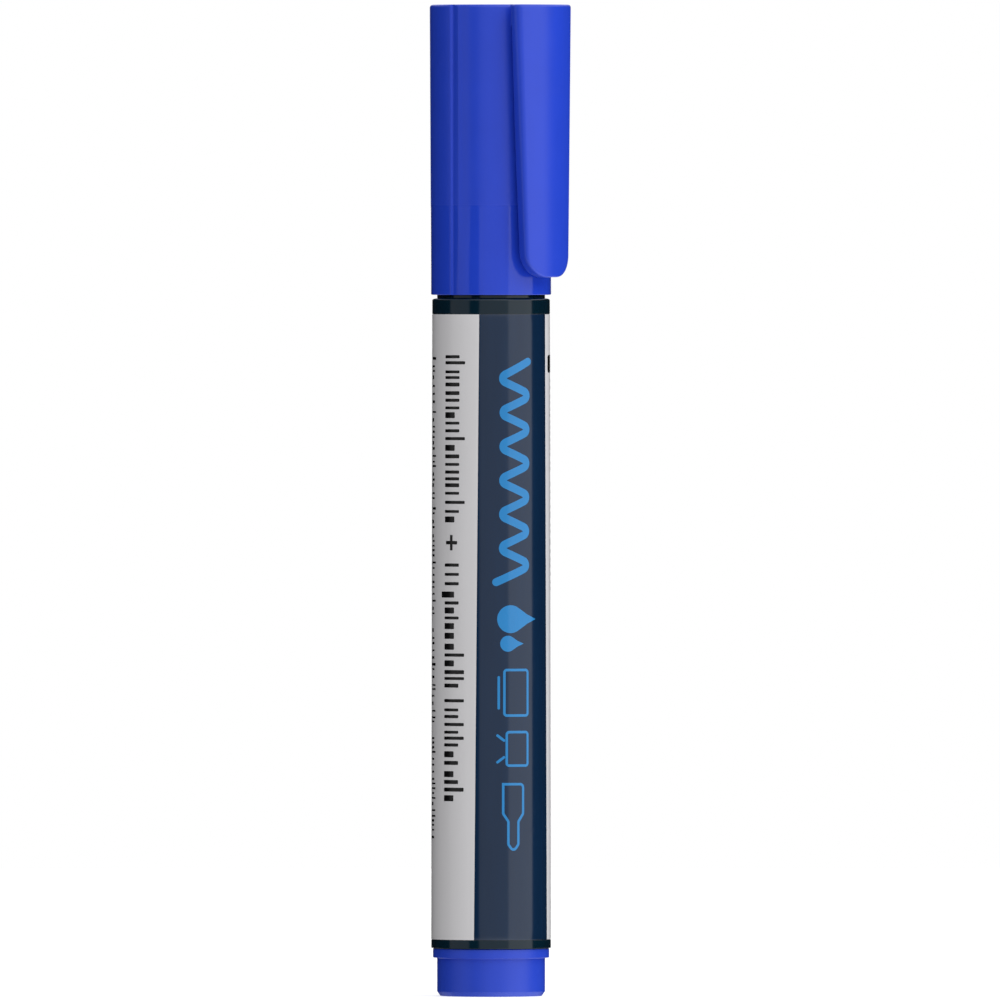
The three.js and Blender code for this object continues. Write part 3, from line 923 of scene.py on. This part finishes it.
def cap_body():
    path = fillet(
        [
            (0, 138.70),
            (0.34, 138.70, 0.04),
            (0.42, 138.60, 0.04),
            (1.0, 138.60, 0.06),
            (1.16, 138.75, 0.06),
            (CAP_R_TOP, 138.75, 0.45),
            (CAP_R_RIM, CAP_FLARE_Z),
            (CAP_R_RIM, CAP_RIM_Z, 0.13),
            (7.88, CAP_RIM_Z, 0.05),
            (7.66, 98.5, 0.05),
            (7.66, 111.24, 0.1),
            (7.3, 111.6, 0.1),
            (7.3, 137.25, 0.5),
            (0, 137.25),
        ]
    )
    def profile(side):
        """How deep a groove is, as a share of its full depth, and how far the wall beside it is flattened. side is the angle from the clip's middle, in degrees."""
        deep = np.interp(side, (80.6, 87.9, 89.7), (0.0, 1.0, 0.0))
        flat = np.interp(side, (60.0, 69.0, 76.0, 80.6), (0.0, 0.3, 1.2, 0.0))
        return deep, flat

    def push(r, z, a):
        """The two grooves. Each slopes in from its front lip and comes back up steeply behind."""
        side = abs(math.degrees((a + math.pi) % (2 * math.pi) - math.pi))
        if r < 7.95 or not 59.0 < side < 90.6:
            return r
        samples = [profile(side + d) for d in (-0.5, -0.25, 0.0, 0.25, 0.5)]
        deep, flat = np.mean(samples, axis=0)
        t = (z - CAP_RIM_Z) / (CAP_TOP_Z - CAP_RIM_Z)
        lip = min(1.0, max(0.0, (z - 104.0) / 4.0))
        depth = deep * (0.15 + 0.16 * t) + flat * 0.05 * lip
        if depth < 1e-4:
            return r
        cut, soft = flare(z) - depth, 0.03 * min(1.0, depth / 0.06)
        return (cut + r) / 2 - math.sqrt((cut - r) ** 2 + soft**2) / 2

    angles = even_angles(216, (math.radians(-84.0), math.radians(84.0)), 0.115, 47)
    return lathe("cap_body", subdivide(path, 1.3), angles, push=push)


def slerp(a, b, t):
    w = math.acos(max(-1.0, min(1.0, float(a @ b))))
    if w < 1e-6:
        return a
    return (math.sin((1 - t) * w) * a + math.sin(t * w) * b) / math.sin(w)


def clip_half(z):
    """Half the clip's width at a height above its free end's corners."""
    zc = CLIP_END_Z + CLIP_CORNER
    return CLIP_HALF_END + (CLIP_HALF_TOP - CLIP_HALF_END) * (z - zc) / (CAP_TOP_Z - zc)


def clip_under(v):
    return max(CLIP_LIP, math.sqrt(CLIP_UNDER_R**2 - v * v))


def clip_blade():
    """The clip's blade as one closed mesh: a crown about the cap's axis, with long edges rolled over and an edge that sharpens round the free end."""
    R, ri, rt = CLIP_R, 0.22, 0.42
    zc = CLIP_END_Z + CLIP_CORNER
    vc = CLIP_HALF_END - CLIP_CORNER
    M, NR, NS, NI = 44, 10, 3, 4
    LEAN = math.radians(20.0)

    def roll(z):
        """The rolled edge's radius, which narrows towards the free end."""
        return 0.62 + 0.58 * max(0.0, z - zc) / (CAP_TOP_Z - zc)

    # each row: (side or corner, height or corner angle, inset of the top's edge, radius of the rolled edge)
    rows = []
    for k in range(7):
        t = math.radians(90 - 90 * k / 6)
        inset = rt * (1 - math.cos(t))
        rows.append(("side", CAP_TOP_Z - rt + rt * math.sin(t), inset, roll(CAP_TOP_Z) - inset))
    z = CAP_TOP_Z - rt
    n = 34
    for k in range(1, n + 1):
        rows.append(("side", z + (zc - z) * k / n, 0.0, roll(z + (zc - z) * k / n)))
    for k in range(1, 21):
        rows.append(("corner", math.radians(90 * k / 20), 0.0, 0.22 + (roll(zc) - 0.22) * (1 - k / 20) ** 1.6))

    def outline(row, offset):
        """(v, z) of the right edge, moved in by offset."""
        kind, value, inset, _ = row
        if kind == "side":
            return clip_half(value) - inset - offset, value
        return vc + (CLIP_CORNER - offset) * math.cos(value), zc - (CLIP_CORNER - offset) * math.sin(value)

    def section(R_, r_, inset, place, out, lean):
        """Points from where the crown meets the rolled edge, round it, down the side, and to the underside.
        place(offset) is the (v, z) of the outline moved in by offset. The side leans in towards the cap by lean."""
        spread = 0.06 * lean / LEAN
        centre = place(r_ - spread)
        u_c = math.sqrt((R_ - r_) ** 2 - centre[0] ** 2)
        b = np.array([u_c, centre[0], 0.0]) / (R_ - r_)
        a = np.array([-math.sin(lean), math.cos(lean) * out[0], math.cos(lean) * out[1]])
        c = np.array([u_c, centre[0], centre[1]])
        pts = [c + r_ * slerp(b, a, k / NR) for k in range(NR + 1)]
        u_i = clip_under(place(ri)[0]) + inset
        draw = ((u_c - u_i - ri) * math.sin(lean) - (r_ - ri) * (1 - math.cos(lean))) / math.cos(lean) - spread
        inner = place(ri + draw)
        c2 = np.array([u_i + ri, inner[0], inner[1]])
        foot = c2 + ri * a
        for k in range(1, NS + 1):
            pts.append(pts[NR] + (foot - pts[NR]) * k / NS)
        for k in range(1, NI + 1):
            pts.append(c2 + ri * slerp(a, np.array([-1.0, 0.0, 0.0]), k / NI))
        return pts

    verts = []

    def put(p):
        verts.append((p[0] * MM, p[1] * MM, p[2] * MM))
        return len(verts) - 1

    loops = []
    for row in rows:
        inset, r_ = row[2], row[3]
        R_ = R - inset
        corner = row[0] == "corner"
        out = (math.cos(row[1]), -math.sin(row[1])) if corner else (1.0, 0.0)
        lean = LEAN * (math.cos(row[1]) ** 2 if corner else 1.0 - inset / rt)
        right = section(R_, r_, inset, lambda offset: outline(row, offset), out, lean)
        left = [p * np.array([1, -1, 1]) for p in right]
        v_top, z_top = right[0][1], right[0][2]
        crown = []
        for k in range(1, M):
            v = v_top * (1 - 2 * k / M)
            crown.append(np.array([math.sqrt(R_ * R_ - v * v), v, z_top]))
        belly = []
        for k in range(1, M):
            v = right[-1][1] * (1 - 2 * k / M)
            belly.append(np.array([clip_under(v) + inset, v, right[-1][2]]))
        # round the section: right edge outer to inner, underside to the left, left edge inner to outer, crown to the right
        loop = [put(p) for p in right]
        loop += [put(p) for p in belly]
        loop += [put(p) for p in reversed(left)]
        loop += [put(p) for p in reversed(crown)]
        loops.append(loop)
    faces = []
    L = len(loops[0])
    for a, b in zip(loops, loops[1:]):
        for i in range(L):
            j = (i + 1) % L
            faces.append((a[i], b[i], b[j], a[j]))
    faces.append(tuple(loops[0]))
    # the free end, a grid between the last row's two edges
    E = NR + NS + NI + 1
    last = loops[-1]
    right = last[:E]
    belly = last[E : E + M - 1]  # right to left
    left = list(reversed(last[E + M - 1 : E + M - 1 + E]))  # outer to inner
    crown = list(reversed(last[E + M - 1 + E :]))  # right to left
    r_ = rows[-1][3]
    columns = [right]
    for k in range(1, M):
        v = vc * (1 - 2 * k / M)
        pts = section(R, r_, 0.0, lambda offset: (v, CLIP_END_Z + offset), (0.0, -1.0), 0.0)
        columns.append([crown[k - 1]] + [put(p) for p in pts[1:-1]] + [belly[k - 1]])
    columns.append(left)
    for a, b in zip(columns, columns[1:]):
        for i in range(E - 1):
            faces.append((a[i], b[i], b[i + 1], a[i + 1]))
    return mesh_object("clip_blade", verts, faces)


def clip_root():
    """The block that joins the clip to the cap, narrower than the clip, with an arched underside."""
    N = 28
    verts, loops = [], []
    for k in range(N + 1):
        v = -CLIP_ROOT_HALF + 2 * CLIP_ROOT_HALF * k / N
        if k in (1, N - 1):
            v = math.copysign(CLIP_ROOT_HALF - 0.14, v)
        top = CAP_TOP_Z - (0.14 if k in (0, N) else 0.0)
        near = math.sqrt(8.57**2 - v * v)
        far = clip_under(v)
        mid, gap = (near + far) / 2, (far - near) / 2
        pts = [(near - 0.55, top), (near - 0.55, CLIP_ROOT_Z - gap)]
        for i in range(13):
            a = math.pi * (1 - i / 12)
            pts.append((mid + gap * math.cos(a), CLIP_ROOT_Z - gap + gap * math.sin(a)))
        pts[2] = (pts[2][0] - 0.02, pts[2][1])
        pts[-1] = (pts[-1][0] + 0.02, pts[-1][1])
        pts += [(far + 0.6, CLIP_ROOT_Z - gap), (far + 0.6, top)]
        loop = []
        for u, z in pts:
            loop.append(len(verts))
            verts.append((u * MM, v * MM, z * MM))
        loops.append(loop)
    faces = [tuple(loops[0]), tuple(reversed(loops[-1]))]
    L = len(loops[0])
    for a, b in zip(loops, loops[1:]):
        for i in range(L):
            j = (i + 1) % L
            faces.append((a[i], b[i], b[j], a[j]))
    return mesh_object("clip_root", verts, faces)


def cap():
    body, blade, root = cap_body(), clip_blade(), clip_root()
    for other in (blade, root):
        mod = body.modifiers.new("join_" + other.name, "BOOLEAN")
        mod.operation, mod.solver, mod.object = "UNION", "EXACT", other
    graph = bpy.context.evaluated_depsgraph_get()
    mesh = bpy.data.meshes.new_from_object(body.evaluated_get(graph))
    mesh.name = "cap_moulding"
    bm = bmesh.new()
    bm.from_mesh(mesh)
    bmesh.ops.remove_doubles(bm, verts=bm.verts, dist=2e-7)
    bmesh.ops.dissolve_degenerate(bm, edges=bm.edges, dist=2e-7)
    volume = bm.calc_volume() / MM**3
    if not 2900 < volume < 3400:
        raise RuntimeError("the cap's body, blade and root didn't join: %.0f cubic mm" % volume)
    bm.to_mesh(mesh)
    bm.free()
    finish_shading(mesh, 32.0)
    mesh.materials.clear()
    mesh.materials.append(MAT_CAP)
    obj = bpy.data.objects.new("cap_moulding", mesh)
    scene.collection.objects.link(obj)
    for old in (body, blade, root):
        bpy.data.objects.remove(old)
    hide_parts("cap_shell")
    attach(obj, "cap")
    return obj


plug()
barrel()
label()
prints()
ink_parts()
seal()
cap()

# ------------------------------------------------------------------ camera, floor and light

VIEW = math.radians(42.0)
TILT = math.radians(0.5)
LENS = 1200.0
BACK = Vector((math.sin(VIEW) * math.cos(TILT), -math.cos(VIEW) * math.cos(TILT), math.sin(TILT)))
RIGHT = Vector((math.cos(VIEW), math.sin(VIEW), 0.0))

camera = bpy.data.cameras.new("camera")
camera.lens = LENS
camera.sensor_width = 36.0
camera.clip_start, camera.clip_end = 0.05, 50.0
camera_object = bpy.data.objects.new("camera", camera)
scene.collection.objects.link(camera_object)
look_at = RIGHT * (1.249 * MM) + Vector((0, 0, 69.41 * MM))
camera_object.location = look_at + BACK * (0.14 / (36.0 / LENS))
camera_object.rotation_mode = "QUATERNION"
camera_object.rotation_quaternion = (-BACK).to_track_quat("-Z", "Y")
scene.camera = camera_object


def floor():
    verts, faces = [], []
    n = 96
    for ring, r in enumerate((0.03, 0.12, 0.4, 0.9)):
        for i in range(n):
            a = 2 * math.pi * i / n
            verts.append((r * math.cos(a), r * math.sin(a), -0.00002))
    faces.append(tuple(range(n)))
    for ring in range(3):
        for i in range(n):
            j = (i + 1) % n
            faces.append((ring * n + i, ring * n + j, (ring + 1) * n + j, (ring + 1) * n + i))
    obj = mesh_object("floor", verts, faces)
    n = Nodes("floor_white")
    out = n.add("ShaderNodeOutputMaterial")
    diffuse = n.add("ShaderNodeBsdfDiffuse")
    diffuse.inputs["Color"].default_value = grey(0.6)
    glow = n.add("ShaderNodeEmission")
    glow.inputs["Color"].default_value = grey(1.0)
    glow.inputs["Strength"].default_value = 0.62
    both = n.add("ShaderNodeAddShader")
    n.tree.links.new(diffuse.outputs[0], both.inputs[0])
    n.tree.links.new(glow.outputs[0], both.inputs[1])
    n.tree.links.new(both.outputs[0], out.inputs[0])
    obj.data.materials.append(n.block)
    obj.visible_glossy = False
    obj.visible_diffuse = False


floor()


def studio():
    """A soft white studio. The horizon is dark but for three upright panels in front and a strip behind, and the sky above and below it is a broad soft light."""
    n = Nodes("studio", world=True)
    out = n.add("ShaderNodeOutputWorld")
    direction = n.add("ShaderNodeTexCoord").outputs["Generated"]
    xyz = n.add("ShaderNodeSeparateXYZ")
    n.put(xyz.inputs[0], direction)
    x, y, z = xyz.outputs
    u = n.math("ADD", n.math("MULTIPLY", x, RIGHT.x), n.math("MULTIPLY", y, RIGHT.y))
    v = n.math("ADD", n.math("MULTIPLY", x, math.sin(VIEW)), n.math("MULTIPLY", y, -math.cos(VIEW)))
    az = n.math("MULTIPLY", n.math("ARCTAN2", u, v), 180 / math.pi)
    elev = n.math("MULTIPLY", n.math("ARCSINE", z), 180 / math.pi)

    def band(value, lo, hi, soft):
        return n.math("MULTIPLY", n.ramp(value, lo - soft, lo + soft), n.ramp(value, hi - soft, hi + soft, 1.0, 0.0))

    panels = n.math("MULTIPLY", band(az, -87, -43, 1.2), 0.40)
    panels = n.math("ADD", panels, n.math("MULTIPLY", band(az, -23, 34, 1.2), 0.50))
    panels = n.math("ADD", panels, n.math("MULTIPLY", band(az, 34, 87, 1.2), 1.09))
    turned = n.math("ABSOLUTE", az)
    panels = n.math("ADD", panels, n.math("MULTIPLY", n.ramp(turned, 167, 174), 1.3))
    panels = n.math("ADD", panels, 0.01)
    ring = n.ramp(n.math("ABSOLUTE", elev), 16, 26, 1.0, 0.0)
    # the broad light above and below is strongest from the right, with a second one behind
    side = n.math("COSINE", n.math("MULTIPLY", n.math("SUBTRACT", az, 35.0), math.pi / 180))
    sky = n.math("ADD", 0.63, n.math("MULTIPLY", side, 0.64))
    for centre, strength in ((88.0, 0.80), (-142.0, 0.50)):
        lobe = n.math("COSINE", n.math("MULTIPLY", n.math("SUBTRACT", az, centre), math.pi / 180))
        lobe = n.math("MAXIMUM", lobe, 0.0)
        sky = n.math("ADD", sky, n.math("MULTIPLY", n.math("MULTIPLY", lobe, lobe), strength))
    sky = n.math("ADD", sky, n.math("MULTIPLY", n.ramp(turned, 140, 170), 1.0))
    level = n.math("ADD", n.math("MULTIPLY", panels, ring), n.math("MULTIPLY", sky, n.math("SUBTRACT", 1.0, ring)))
    light = n.add("ShaderNodeBackground")
    light.inputs["Color"].default_value = grey(1.0)
    n.put(light.inputs["Strength"], level)
    plain = n.add("ShaderNodeBackground")
    plain.inputs["Color"].default_value = grey(1.0)
    plain.inputs["Strength"].default_value = 1.0
    pick = n.add("ShaderNodeMixShader")
    n.tree.links.new(n.add("ShaderNodeLightPath").outputs["Is Camera Ray"], pick.inputs[0])
    n.tree.links.new(light.outputs[0], pick.inputs[1])
    n.tree.links.new(plain.outputs[0], pick.inputs[2])
    n.tree.links.new(pick.outputs[0], out.inputs[0])
    scene.world = n.block


studio()

scene.view_settings.view_transform = "Standard"
scene.view_settings.look = "None"
scene.view_settings.exposure = 0.0
scene.view_settings.gamma = 1.0
